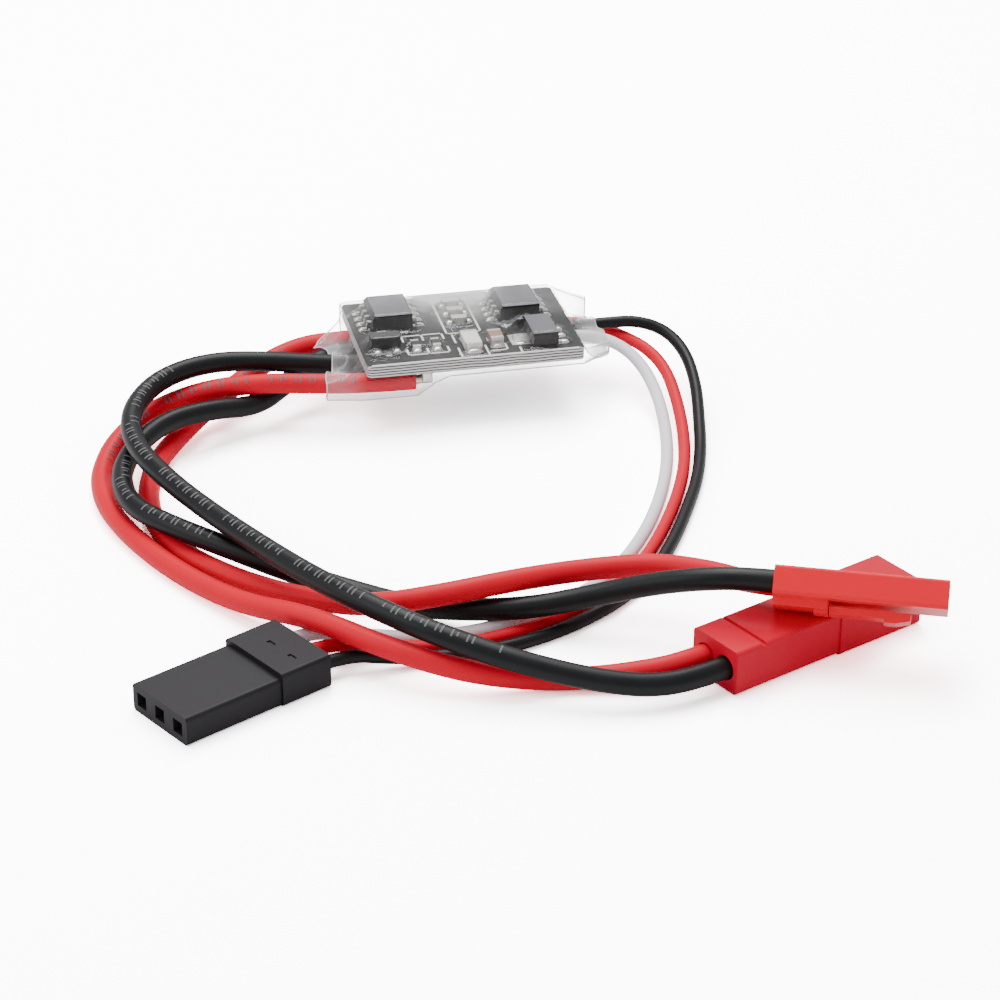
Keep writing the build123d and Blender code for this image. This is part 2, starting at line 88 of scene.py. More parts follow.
def area_light(name, place, size, energy, target=(0, -25, 0)):
    """A soft square light at a place in millimetres, aimed at a point of the object."""
    lamp = bpy.data.objects.new(name, bpy.data.lights.new(name, "AREA"))
    lamp.data.size = size * MM
    lamp.data.energy = energy
    lamp.location = Vector(place) * MM
    way = Vector(target) * MM - lamp.location
    lamp.rotation_euler = way.to_track_quat("-Z", "Y").to_euler()
    bpy.context.scene.collection.objects.link(lamp)


area_light("back_light", (60, 260, 380), 220, 1.2)
area_light("key_light", (-40, 60, 380), 260, 1.45)
area_light("side_light", (-260, -60, 160), 200, 0.3)
world = bpy.data.worlds.new("studio")
bpy.context.scene.world = world
world.use_nodes = True
world.node_tree.nodes["Background"].inputs["Color"].default_value = (1, 1, 1, 1)
world.node_tree.nodes["Background"].inputs["Strength"].default_value = WORLD_STRENGTH


# ---------------------------------------------------------------- materials
SPECKLE_DEPTH = 0.05 * MM


def finish_of(name, color, roughness, metallic=0.0, **sockets):
    """A plain material; other sockets are given by name with _ for a space."""
    material = bpy.data.materials.new(name)
    material.use_nodes = True
    shader = material.node_tree.nodes["Principled BSDF"]
    shader.inputs["Base Color"].default_value = (*color, 1)
    shader.inputs["Roughness"].default_value = roughness
    shader.inputs["Metallic"].default_value = metallic
    for socket, value in sockets.items():
        shader.inputs[socket.replace("_", " ")].default_value = value
    return material


def speckled(name, roughness, low, high, scale, roughness_swing, bump, **sockets):
    """A material whose colour goes from low to high by fine noise, with its roughness and relief."""
    material = finish_of(name, low, roughness, **sockets)
    nodes = material.node_tree.nodes
    links = material.node_tree.links
    shader = nodes["Principled BSDF"]
    place = nodes.new("ShaderNodeTexCoord")
    noise = nodes.new("ShaderNodeTexNoise")
    noise.inputs["Scale"].default_value = scale
    noise.inputs["Detail"].default_value = 4
    links.new(place.outputs["Object"], noise.inputs["Vector"])
    tint = nodes.new("ShaderNodeMix")
    tint.data_type = "RGBA"
    tint.inputs["A"].default_value = (*low, 1)
    tint.inputs["B"].default_value = (*high, 1)
    links.new(noise.outputs["Fac"], tint.inputs["Factor"])
    links.new(tint.outputs["Result"], shader.inputs["Base Color"])
    spread = nodes.new("ShaderNodeMapRange")
    spread.inputs["To Min"].default_value = roughness - roughness_swing
    spread.inputs["To Max"].default_value = roughness + roughness_swing
    links.new(noise.outputs["Fac"], spread.inputs["Value"])
    links.new(spread.outputs["Result"], shader.inputs["Roughness"])
    relief = nodes.new("ShaderNodeBump")
    relief.inputs["Strength"].default_value = bump
    relief.inputs["Distance"].default_value = SPECKLE_DEPTH
    links.new(noise.outputs["Fac"], relief.inputs["Height"])
    links.new(relief.outputs["Normal"], shader.inputs["Normal"])
    return material


silicone_red = speckled(
    "silicone_red", 0.42, (0.64, 0.002, 0.02), (0.72, 0.003, 0.024), 400, 0.05, 0.05,
    Specular_IOR_Level=0.12,
)
silicone_black = speckled(
    "silicone_black", 0.4, (0.003, 0.0032, 0.004), (0.007, 0.0074, 0.009), 400, 0.06, 0.05,
    Specular_IOR_Level=0.22,
)
control_white = speckled(
    "control_white", 0.5, (0.84, 0.82, 0.88), (0.9, 0.88, 0.93), 500, 0.04, 0.03,
    Subsurface_Weight=0.15, Subsurface_Scale=0.0004,
)
plug_red = speckled(
    "plug_red", 0.35, (0.58, 0.002, 0.024), (0.66, 0.003, 0.03), 300, 0.05, 0.08,
    Specular_IOR_Level=0.12,
)
receptacle_red = finish_of(
    "receptacle_red", (1.0, 0.012, 0.035), 0.22, Specular_IOR_Level=0.15,
    Transmission_Weight=0.2, IOR=1.3,
)
plug_black = speckled(
    "plug_black", 0.45, (0.011, 0.0095, 0.012), (0.018, 0.0155, 0.019), 350, 0.06, 0.1,
    Specular_IOR_Level=0.16,
)
tinned = speckled(
    "tinned", 0.28, (0.72, 0.71, 0.68), (0.88, 0.87, 0.84), 900, 0.08, 0.2,
    metallic=1.0,
)
gold = finish_of("gold", (0.85, 0.62, 0.25), 0.25, 1.0)
chip_black = speckled(
    "chip_black", 0.42, (0.006, 0.006, 0.007), (0.014, 0.014, 0.015), 900, 0.05, 0.2,
)
# Paler grey for the chips' top faces: a painted sheen of the light reflected off the film over them
chip_top_painted_sheen = speckled(
    "chip_top_painted_sheen", 0.45, (0.085, 0.085, 0.1), (0.12, 0.12, 0.14), 900, 0.05, 0.2,
)
resistor_black = finish_of("resistor_black", (0.015, 0.015, 0.018), 0.2)
milky_ceramic = finish_of(
    "milky_ceramic", (0.55, 0.53, 0.47), 0.35, Subsurface_Weight=0.2, Subsurface_Scale=0.0003
)
brown_ceramic = speckled(
    "brown_ceramic", 0.35, (0.27, 0.15, 0.07), (0.35, 0.2, 0.1), 900, 0.05, 0.1,
)
lamp_white = finish_of("lamp_white", (0.85, 0.85, 0.8), 0.3, Subsurface_Weight=0.4, Subsurface_Scale=0.0005)
solder_mask = speckled(
    "solder_mask", 0.35, (0.003, 0.003, 0.004), (0.008, 0.008, 0.009), 250, 0.08, 0.05,
    Specular_IOR_Level=0.2,
)


def layered(name, pale, dark, bands):
    """Thin wavy layers that lie flat, for a cut board edge behind folded film: pale bands that are partly the
    laminate's own colour and partly painted highlights of the film's folds.
    """
    material = finish_of(name, pale, 0.4)
    nodes = material.node_tree.nodes
    links = material.node_tree.links
    place = nodes.new("ShaderNodeTexCoord")
    layers = nodes.new("ShaderNodeTexWave")
    layers.bands_direction = "Z"
    layers.inputs["Scale"].default_value = bands
    layers.inputs["Distortion"].default_value = 3.5
    layers.inputs["Detail"].default_value = 3
    layers.inputs["Detail Scale"].default_value = 0.35
    links.new(place.outputs["Object"], layers.inputs["Vector"])
    steps = nodes.new("ShaderNodeMapRange")
    steps.interpolation_type = "SMOOTHSTEP"
    steps.inputs["From Min"].default_value = 0.15
    steps.inputs["From Max"].default_value = 0.62
    links.new(layers.outputs["Fac"], steps.inputs["Value"])
    tint = nodes.new("ShaderNodeMix")
    tint.data_type = "RGBA"
    tint.inputs["A"].default_value = (*dark, 1)
    tint.inputs["B"].default_value = (*pale, 1)
    links.new(steps.outputs["Result"], tint.inputs["Factor"])
    links.new(tint.outputs["Result"], nodes["Principled BSDF"].inputs["Base Color"])
    return material


# Pale bands on the board's cut sides: the laminate's colour, with painted highlights of the folded film
laminate_and_painted_fold_highlights = layered("laminate_and_painted_fold_highlights", (0.8, 0.8, 0.8), (0.015, 0.015, 0.016), 1100)
wire_print = finish_of("wire_print", (0.1, 0.1, 0.105), 0.6)
silk_white = finish_of("silk_white", (0.82, 0.82, 0.78), 0.5)


# The film's haze, at its back and middle a painted reflection of the light behind: distances in metres from
# the board's centre, and shares of milky film
BACK_PAINTED_REFLECTION = (-0.0018, 0.008)
PAINTED_REFLECTION_MIDDLE = (0.0028, 0.0062)
PAINTED_REFLECTION_OVER_CHIPS = 0.3
HAZE_ENDS = (0.0105, 0.0135)
END_VEIL = 0.32
PATCH_NOISE = (0.35, 0.7)
PATCH_SHARE = (0.55, 1.5)
MILK_LIT_ABOVE = 0.65
RIPPLE_SCALE = 420
RIPPLE_STRENGTH = 0.6
RIPPLE_DEPTH = 0.1 * MM
PATCH_SCALE = 230
FILM_IOR = 1.38


def film_finish(name, veil, back_painted_reflection, roughness):
    """Clear film: seen straight through under mirror-like light, and milkier towards its back, where a white
    veil paints the reflection of the light behind.
    """
    material = bpy.data.materials.new(name)
    material.use_nodes = True
    nodes = material.node_tree.nodes
    links = material.node_tree.links
    nodes.remove(nodes["Principled BSDF"])
    place = nodes.new("ShaderNodeTexCoord")

    def noise(scale, detail):
        """Noise fixed to the film."""
        made = nodes.new("ShaderNodeTexNoise")
        made.inputs["Scale"].default_value = scale
        made.inputs["Detail"].default_value = detail
        links.new(place.outputs["Object"], made.inputs["Vector"])
        return made.outputs["Fac"]

    def ramp(value, reach, shares, smooth=True):
        """A value's way through a reach, as a share that runs from one to the other."""
        made = nodes.new("ShaderNodeMapRange")
        if smooth:
            made.interpolation_type = "SMOOTHSTEP"
        made.inputs["From Min"].default_value, made.inputs["From Max"].default_value = reach
        made.inputs["To Min"].default_value, made.inputs["To Max"].default_value = shares
        links.new(value, made.inputs["Value"])
        return made.outputs["Result"]

    def combine(operation, *values):
        """Arithmetic on one or two values."""
        made = nodes.new("ShaderNodeMath")
        made.operation = operation
        for k, value in enumerate(values):
            links.new(value, made.inputs[k])
        return made.outputs["Value"]

    def blend(share, under, over):
        """One shader over another, by a fixed or a varying share."""
        made = nodes.new("ShaderNodeMixShader")
        if isinstance(share, float):
            made.inputs["Fac"].default_value = share
        else:
            links.new(share, made.inputs["Fac"])
        links.new(under, made.inputs[1])
        links.new(over, made.inputs[2])
        return made.outputs["Shader"]

    relief = nodes.new("ShaderNodeBump")
    relief.inputs["Strength"].default_value = RIPPLE_STRENGTH
    relief.inputs["Distance"].default_value = RIPPLE_DEPTH
    links.new(noise(RIPPLE_SCALE, 3), relief.inputs["Height"])
    clear = nodes.new("ShaderNodeBsdfTransparent")
    lit_through = nodes.new("ShaderNodeBsdfTranslucent")
    lit_through.inputs["Color"].default_value = (1, 1, 1, 1)
    lit_above = nodes.new("ShaderNodeBsdfDiffuse")
    lit_above.inputs["Color"].default_value = (1, 1, 1, 1)
    milk = blend(MILK_LIT_ABOVE, lit_through.outputs["BSDF"], lit_above.outputs["BSDF"])
    spot = nodes.new("ShaderNodeSeparateXYZ")
    links.new(place.outputs["Object"], spot.inputs["Vector"])
    aside = combine("ABSOLUTE", spot.outputs["X"])
    # The painted reflection of the light behind lies along the board's middle as a white veil, and thins
    # towards both chips
    haze_and_painted_reflection = combine(
        "MULTIPLY",
        ramp(spot.outputs["Y"], BACK_PAINTED_REFLECTION, (veil, back_painted_reflection)),
        ramp(aside, PAINTED_REFLECTION_MIDDLE, (1, PAINTED_REFLECTION_OVER_CHIPS)),
    )
    # Milkier where the film leaves the board at its two ends
    haze_and_painted_reflection = combine("MAXIMUM", haze_and_painted_reflection, ramp(aside, HAZE_ENDS, (0, END_VEIL)))
    # Broken up into soft patches
    haze_and_painted_reflection = combine("MULTIPLY", haze_and_painted_reflection, ramp(noise(PATCH_SCALE, 2), PATCH_NOISE, PATCH_SHARE, smooth=False))
    through = blend(haze_and_painted_reflection, clear.outputs["BSDF"], milk)
    gloss = nodes.new("ShaderNodeBsdfGlossy")
    gloss.inputs["Roughness"].default_value = roughness
    links.new(relief.outputs["Normal"], gloss.inputs["Normal"])
    # The same reflection from either face of the sheet
    edge = nodes.new("ShaderNodeFresnel")
    links.new(relief.outputs["Normal"], edge.inputs["Normal"])
    side = nodes.new("ShaderNodeNewGeometry")
    index = ramp(side.outputs["Backfacing"], (0, 1), (FILM_IOR, 1 / FILM_IOR), smooth=False)
    links.new(index, edge.inputs["IOR"])
    surface = blend(edge.outputs["Fac"], through, gloss.outputs["BSDF"])
    links.new(surface, nodes["Material Output"].inputs["Surface"])
    return material


# An even slight milkiness, and a painted reflection of the light behind as a white veil at the film's back
clear_film = film_finish("clear_film", 0.035, 0.75, 0.12)
rim_film = finish_of("rim_film", (0.85, 0.86, 0.88), 0.25, Alpha=0.7)


def studio_white(name, seen, real):
    """A backdrop that looks brighter to the camera than the light it gives back to the object."""
    material = bpy.data.materials.new(name)
    material.use_nodes = True
    nodes = material.node_tree.nodes
    links = material.node_tree.links
    nodes.remove(nodes["Principled BSDF"])
    matte = nodes.new("ShaderNodeBsdfDiffuse")
    path = nodes.new("ShaderNodeLightPath")
    tint = nodes.new("ShaderNodeMix")
    tint.data_type = "RGBA"
    tint.inputs["A"].default_value = (real, real, real, 1)
    tint.inputs["B"].default_value = (seen, seen, seen, 1)
    links.new(path.outputs["Is Camera Ray"], tint.inputs["Factor"])
    links.new(tint.outputs["Result"], matte.inputs["Color"])
    links.new(matte.outputs["BSDF"], nodes["Material Output"].inputs["Surface"])
    return material


floor_white = studio_white("floor_white", 6.0, 0.85)

PAINTS = {
    "board_resin": solder_mask,
    "tinned": tinned,
    "chip_black": chip_black,
    "resistor_black": resistor_black,
    "milky_ceramic": milky_ceramic,
    "brown_ceramic": brown_ceramic,
    "lamp_white": lamp_white,
    "clear_film": clear_film,
    "silicone_red": silicone_red,
    "silicone_black": silicone_black,
    "control_white": control_white,
    "plug_red": plug_red,
    "receptacle_red": receptacle_red,
    "plug_black": plug_black,
    "gold": gold,
}
for entry in frame["record"]["subparts"]:
    node = frame["nodes"][entry["node"]]
    node.data.materials.clear()
    node.data.materials.append(PAINTS[entry["material_slot"]])

# ---------------------------------------------------------------- floor
bpy.ops.mesh.primitive_plane_add(size=4, location=(0, 0, TABLE_Z * MM))
floor = bpy.context.object
floor.name = "floor"
floor.data.materials.append(floor_white)

# ---------------------------------------------------------------- wires
# Each route's heights are above the table, in millimetres, and it ends inside a connector
ROUTES = {
    "battery_negative_wire": [
        (-6.5, -2.2, 4.95), (-11.0, -2.0, 4.95), (-15.5, -1.9, 5.5), (-20.2, -1.5, 6.1),
        (-25.0, -1.1, 6.3), (-29.6, -2.9, 6.2), (-32.8, -6.6, 5.9), (-34.4, -11.6, 5.7),
        (-34.1, -17.2, 5.5), (-32.0, -23.3, 5.3), (-29.2, -29.5, 5.1), (-26.0, -36.0, 5.1),
        (-22.6, -42.8, 5.3), (-19.0, -48.9, 5.6), (-14.6, -53.9, 5.2), (-9.4, -57.3, 4.1),
        (-4.4, -59.6, 3.1), (-0.4, -61.1, 2.5), (3.4, -61.8, 2.1), (7.4, -61.2, 2.1),
        (11.0, -59.6, 2.1),
    ],
    "battery_positive_wire": [
        (-6.0, -6.4, 4.95), (-10.5, -6.3, 4.95), (-15.0, -5.6, 5.0), (-20.5, -4.2, 5.0),
        (-26.0, -3.0, 4.3), (-31.3, -3.8, 3.1), (-35.4, -7.3, 1.8), (-37.6, -13.0, 1.05),
        (-37.5, -19.0, 1.0), (-35.9, -25.2, 1.0), (-32.5, -32.9, 1.0), (-28.0, -40.2, 1.5),
        (-23.0, -46.8, 3.4), (-17.8, -52.9, 3.3), (-12.0, -56.2, 2.2), (-6.4, -57.1, 1.2),
        (-1.6, -57.7, 1.0), (2.4, -58.5, 1.5), (6.4, -58.9, 2.1), (10.0, -57.3, 2.1),
    ],
    "motor_positive_wire": [
        (-6.5, 4.0, 4.95), (-11.0, 3.9, 4.95), (-15.3, 4.3, 4.7), (-19.6, 2.9, 3.7),
        (-24.2, -1.0, 2.5), (-28.6, -5.8, 1.5), (-31.8, -10.8, 1.1), (-33.4, -16.2, 1.0),
        (-33.7, -22.4, 1.0), (-32.3, -28.2, 1.0), (-29.2, -33.1, 1.0), (-25.6, -37.2, 1.1),
        (-21.8, -41.4, 1.8), (-17.4, -45.1, 2.8), (-11.4, -46.7, 4.1), (-4.6, -46.1, 4.5),
        (2.2, -45.3, 4.3), (7.4, -46.9, 5.0), (11.0, -50.4, 5.8), (13.9, -53.7, 6.1),
        (17.1, -55.1, 6.1),
    ],
    "motor_negative_wire": [
        (-6.5, 1.7, 4.95), (-10.5, 1.7, 4.95), (-14.6, 0.9, 4.5), (-18.0, -1.8, 3.5),
        (-21.3, -4.7, 2.8), (-25.8, -6.2, 3.7), (-30.6, -8.3, 3.95), (-34.3, -12.6, 3.5),
        (-36.1, -17.8, 3.2), (-35.6, -23.6, 3.2), (-32.2, -28.3, 3.2), (-28.2, -32.4, 3.0),
        (-23.2, -36.0, 1.9), (-18.4, -39.0, 1.1), (-14.0, -42.6, 1.0), (-9.3, -46.0, 1.9),
        (-4.0, -48.0, 2.6), (1.4, -49.2, 3.9), (5.6, -51.2, 5.6), (9.1, -53.6, 7.0),
        (12.7, -55.3, 7.6), (16.3, -56.9, 7.6),
    ],
    "control_ground_wire": [
        (8.5, 1.6, 5.3), (11.8, 1.4, 5.4), (15.1, 1.0, 5.7), (18.3, 0.6, 5.8),
        (21.0, -0.7, 5.0), (22.2, -3.8, 3.8), (21.9, -8.6, 2.6), (20.8, -13.6, 1.6),
        (19.5, -18.9, 0.8), (17.6, -24.4, 0.6), (15.0, -30.0, 0.6), (12.2, -35.5, 0.6),
        (8.9, -40.8, 0.6), (4.5, -45.2, 0.6), (-0.9, -48.7, 0.6), (-6.6, -50.7, 0.6),
        (-12.2, -51.2, 0.6), (-16.7, -51.0, 1.0), (-20.8, -50.5, 1.55), (-24.3, -52.3, 1.55),
    ],
    "control_supply_wire": [
        (8.5, 3.4, 5.3), (11.5, 3.4, 5.1), (14.4, 2.9, 4.6), (16.8, 0.8, 4.2),
        (18.6, -2.0, 3.9), (19.6, -5.6, 3.2), (19.4, -10.5, 2.2), (18.6, -16.0, 1.3),
        (17.2, -21.4, 0.7), (15.0, -26.9, 0.6), (12.3, -32.4, 0.6), (9.2, -37.7, 0.6),
        (5.3, -42.4, 0.6), (0.3, -46.1, 0.6), (-5.4, -48.6, 0.6), (-11.6, -49.6, 0.6),
        (-17.4, -48.9, 0.9), (-22.0, -48.2, 1.55), (-25.5, -50.1, 1.55),
    ],
    "control_signal_wire": [
        (8.5, -0.2, 5.3), (11.2, -0.2, 5.2), (13.9, -0.4, 4.9), (16.1, -1.9, 4.3),
        (17.4, -4.6, 3.4), (17.8, -8.4, 2.4), (17.4, -13.2, 1.5), (16.4, -18.2, 0.8),
        (14.8, -23.2, 0.6), (12.6, -28.5, 0.6), (9.9, -33.7, 0.6), (6.7, -38.4, 0.6),
        (2.8, -42.4, 0.6), (-2.2, -45.4, 0.6), (-7.7, -47.4, 0.6), (-13.2, -47.8, 0.6),
        (-18.8, -46.5, 0.9), (-23.2, -46.0, 1.55), (-26.7, -47.9, 1.55),
    ],
}
BATTERY_PLUG = ("battery_plug_housing", "battery_plug_pins")
RECEPTACLE = ("receptacle_housing", "receptacle_contacts", "receptacle_latch")
CONTROL_PLUG = ("control_plug_housing", "control_plug_contacts")
# Each wire's diameter, length, material slot and connector
WIRES = {
    "battery_negative_wire": (2.0, 109, "silicone_black", BATTERY_PLUG),
    "battery_positive_wire": (2.0, 112, "silicone_red", BATTERY_PLUG),
    "motor_positive_wire": (2.0, 111, "silicone_red", RECEPTACLE),
    "motor_negative_wire": (2.0, 107, "silicone_black", RECEPTACLE),
    "control_ground_wire": (1.2, 93, "silicone_black", CONTROL_PLUG),
    "control_supply_wire": (1.2, 90, "silicone_red", CONTROL_PLUG),
    "control_signal_wire": (1.2, 84, "control_white", CONTROL_PLUG),
}
for name, (diameter, length, paint, on_it) in WIRES.items():
    curve = bpy.data.curves.new(name + "_lead", "CURVE")
    curve.dimensions = "3D"
    curve.bevel_depth = diameter / 2 * MM
    curve.bevel_resolution = 5
    curve.resolution_u = 10
    curve.use_fill_caps = True
    spline = curve.splines.new("NURBS")
    spline.points.add(len(ROUTES[name]) - 1)
    for point, (x, y, z) in zip(spline.points, ROUTES[name]):
        point.co = (x * MM, y * MM, (z + TABLE_Z) * MM, 1)
    spline.order_u = 3
    spline.use_endpoint_u = True
    curve.materials.append(PAINTS[paint])
    lead = bpy.data.objects.new(name + "_lead", curve)
    bpy.context.scene.collection.objects.link(lead)
    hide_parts(name)
    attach(lead, "controller")
    x, y, z = ROUTES[name][0]


# ---------------------------------------------------------------- helpers for new pieces
def piece(name, vertices, faces, paint, smooth=False):
    """A new mesh from points in millimetres, riding the controller's body."""
    mesh = bpy.data.meshes.new(name)
    mesh.from_pydata([tuple(c * MM for c in v) for v in vertices], [], faces)
    mesh.materials.append(paint)
    mesh.validate()
    if smooth:
        mesh.polygons.foreach_set("use_smooth", [True] * len(mesh.polygons))
    made = bpy.data.objects.new(name, mesh)
    bpy.context.scene.collection.objects.link(made)
    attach(made, "controller")
    return made


def extent(node):
    """A CAD node's lowest and highest corners in millimetres."""
    low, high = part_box(node)
    return low / MM, high / MM


def soften(node, width, segments=3):
    """Rounds a CAD node's sharp edges a little."""
    bevel = frame["nodes"][node].modifiers.new("soft_edges", "BEVEL")
    bevel.width = width * MM
    bevel.segments = segments
    bevel.limit_method = "ANGLE"
    bevel.angle_limit = radians(40)
    return bevel


for node, width in (
    ("transistor_body", 0.08), ("control_plug_housing", 0.15), ("battery_plug_housing", 0.15),
    ("receptacle_housing", 0.12), ("receptacle_latch", 0.1), ("brown_capacitor_caps", 0.06),
    ("chip_resistor_caps", 0.05), ("chip_capacitor_caps", 0.05), ("status_lamp_caps", 0.05),
):
    soften(node, width)
# The chips' paler tops, a painted sheen, stop short of a black rounded rim
CHIP_TOPS = {"mosfet_left_body": 0.26, "mosfet_right_body": 0.26, "regulator_body": 0.24}
for node, width in CHIP_TOPS.items():
    soften(node, width, 4).material = 0

# The board's cut sides show its pale laminate, with painted highlight lines of the film folded over the edge
board = frame["nodes"]["circuit_board"].data
board.materials.append(laminate_and_painted_fold_highlights)
for face in board.polygons:
    face.material_index = 0 if abs(face.normal.z) > 0.5 else 1

# Painted sheen: chip tops are paler than their moulded sides, standing in for the light reflected off the
# film over them
for node in CHIP_TOPS:
    chip = frame["nodes"][node].data
    chip.materials.append(chip_top_painted_sheen)
    for face in chip.polygons:
        face.material_index = 1 if face.normal.z > 0.9 else 0

# ---------------------------------------------------------------- printed marks
# Strokes in millimetres on the board's top: from x, y to x, y
FRAME_MIDDLE = [(-1.8, 6.6, -1.8, -1.5), (1.6, 6.6, 1.6, -1.5), (-1.8, -1.5, 1.6, -1.5)]
PAIR_COLUMNS = (-6.35, -4.35, -2.3)
PAIR_TOP = -1.25
PAIR_BOTTOM = -5.6
CORNER_STROKE = 1.2
FRAME_PAIR = [
    (PAIR_COLUMNS[0], PAIR_TOP, PAIR_COLUMNS[2], PAIR_TOP),
    (PAIR_COLUMNS[0], PAIR_BOTTOM, PAIR_COLUMNS[2], PAIR_BOTTOM),
]
for column in PAIR_COLUMNS:
    FRAME_PAIR.append((column, PAIR_TOP, column, PAIR_TOP - CORNER_STROKE))
    FRAME_PAIR.append((column, PAIR_BOTTOM, column, PAIR_BOTTOM + CORNER_STROKE))
LAMP_MARKS = [(-1.35, -1.9, -1.35, -3.7), (-1.35, -5.0, -1.35, -7.1), (1.35, -4.9, 1.35, -7.1)]
CAPACITOR_MARK = [(1.75, -6.2, 3.35, -6.2), (3.35, -6.2, 3.35, -4.9)]
EDGE_MARKS = [(-10.2, -7.2, 10.2, -7.2), (4.6, -6.0, 4.6, -7.0), (-8.5, -5.2, -8.1, -5.2)]
SMALL_MARKS = [
    (-8.4, 0.0, -7.8, 0.0), (-6.1, -0.2, -5.5, -0.2), (4.0, -0.9, 4.6, -0.9), (4.3, -0.6, 4.3, -1.2),
]
MARKS = FRAME_MIDDLE + FRAME_PAIR + LAMP_MARKS + CAPACITOR_MARK + EDGE_MARKS + SMALL_MARKS
STROKE = 0.2
STROKE_RISE = 0.015

marks = []
mark_faces = []
for x0, y0, x1, y1 in MARKS:
    start = Vector((x0, y0, 0))
    end = Vector((x1, y1, 0))
    along = (end - start).normalized() * STROKE / 2
    beside = Vector((-along.y, along.x, 0))
    corners = (start - along - beside, end + along - beside, end + along + beside, start - along + beside)
    first = len(marks)
    for height in (TOP_Z + 0.001, TOP_Z + STROKE_RISE):
        marks += [(c.x, c.y, height) for c in corners]
    mark_faces.append([first + k for k in (4, 5, 6, 7)])
    mark_faces.append([first + k for k in (3, 2, 1, 0)])
    mark_faces += [[first + a, first + (a + 1) % 4, first + (a + 1) % 4 + 4, first + a + 4] for a in range(4)]
piece("printed_marks", marks, mark_faces, silk_white)

# ---------------------------------------------------------------- solder
# Where the parts stand on the board, in millimetres
CHIPS = ((-6.85, 2.95), (6.0, 2.7))
LEAD_PITCH = 1.27
LEAD_ROWS = [(row - 1.5) * LEAD_PITCH for row in range(4)]
TRANSISTOR_FEET_X = (-9.25, -7.35)
RESISTORS_X = (-5.4, -3.4)
CAPACITORS_Y = (4.7, 2.7, 0.7)
REGULATOR_FEET_Y = (-5.8, -4.3, -2.8)
# Each solder spot's centre, its half sizes along X and Y, and its height
solder_spots = []
for x, y in CHIPS:
    for row in LEAD_ROWS:
        for side in (-1, 1):
            solder_spots.append((x + side * 2.85, y + row, 0.5, 0.3, 0.24))
for x in TRANSISTOR_FEET_X:
    solder_spots.append((x, -4.45, 0.38, 0.42, 0.3))
solder_spots.append((-8.3, -1.9, 0.35, 0.4, 0.28))
for x in RESISTORS_X:
    for side in (-1, 1):
        solder_spots.append((x, -3.9 + side * 0.95, 0.48, 0.42, 0.3))
for side in (-1, 1):
    solder_spots.append((0.0, -4.55 + side * 1.7, 0.85, 0.5, 0.45))
    solder_spots.append((2.45, -4.5 + side * 1.1, 0.6, 0.35, 0.4))
for y in CAPACITORS_Y:
    for side in (-1, 1):
        solder_spots.append((-0.1 + side * 0.95, y, 0.4, 0.45, 0.4))
for y in REGULATOR_FEET_Y:
    solder_spots.append((9.1, y, 0.55, 0.38, 0.3))
solder_spots.append((4.9, -4.3, 0.75, 1.2, 0.22))
RINGS = 6
SPOKES = 16
domes = []
dome_faces = []
for x, y, wide, deep, high in solder_spots:
    first = len(domes)
    for ring in range(RINGS):
        lift = pi / 2 * ring / RINGS
        for spoke in range(SPOKES):
            turn = 2 * pi * spoke / SPOKES
            square = 1 / max(abs(cos(turn)), abs(sin(turn))) ** 0.5
            flat = cos(lift) ** 0.7 * square * 0.92
            rim_x = x + wide * flat * cos(turn)
            rim_y = y + deep * flat * sin(turn)
            domes.append((rim_x, rim_y, TOP_Z + high * sin(lift)))
    domes.append((x, y, TOP_Z + high))
    for ring in range(RINGS - 1):
        for spoke in range(SPOKES):
            a = first + ring * SPOKES + spoke
            b = first + ring * SPOKES + (spoke + 1) % SPOKES
            dome_faces.append((a, b, b + SPOKES, a + SPOKES))
    top = len(domes) - 1
    last = first + (RINGS - 1) * SPOKES
    dome_faces += [(last + k, last + (k + 1) % SPOKES, top) for k in range(SPOKES)]
    dome_faces.append([first + k for k in range(SPOKES - 1, -1, -1)])
piece("surface_solder", domes, dome_faces, tinned, smooth=True)


# ---------------------------------------------------------------- shrink film
def along(value, stops):
    """A value read off a broken line of (place, value) stops."""
    places, values = zip(*stops)
    return np.interp(value, places, values)


# The film's outline and edge heights in millimetres, as stops along X
FILM_FRONT = ((-15, -7.0), (-11.5, -7.7), (-10.8, -7.8), (10.6, -7.8), (11.3, -7.1), (14.5, -3.4))
FILM_BACK = ((-15, 6.0), (-11, 7.6), (-10.6, 7.8), (10.6, 7.8), (11.3, 7.2), (14.5, 4.6))
TOP_FRONT = ((-15, 1.7), (-12.5, 2.4), (-11.0, 3.5), (-10.4, 3.6), (10.4, 3.6), (11.2, 3.3), (14.5, 1.9))
TOP_BACK = ((-15, 2.2), (-11.2, 3.4), (-10.4, 3.6), (10.4, 3.6), (11.2, 3.4), (14.5, 3.0))
LOW_FRONT = ((-15, 0.3), (-6.0, 0.3), (-4.2, 1.5), (-2.8, 2.05), (10.4, 2.1), (11.4, 1.9), (14.5, 0.9))
LOW_BACK = ((-15, 0.8), (-6, 0.8), (-3, 2.0), (10.4, 2.1), (14.5, 1.4))
# The cut ends, as stops from the front fold (0) to the back fold (1)
LEFT_CUT = (
    (0, -14.75), (0.08, -14.7), (0.25, -13.7), (0.42, -13.2), (0.56, -13.4), (0.66, -14.6),
    (0.74, -13.9), (0.82, -11.5), (0.9, -10.95), (1, -10.9),
)
RIGHT_CUT = ((0, 14.2), (0.15, 14.4), (0.35, 14.45), (0.5, 13.9), (0.7, 13.5), (0.85, 13.6), (1, 13.9))
# The drape's grid, its pull down over and under the board, and its gap to what it lies on
COLUMNS = 170
ROWS = 84
STRIP = 0.17
SHRINK_STEPS = 2600
CLING = 1.3
LOW_CLING = 0.25
FILM_RISE = 0.1
LOWEST_FILM = 0.06
FOLD_BULGE = 0.12
WIRE_GAP = 0.08

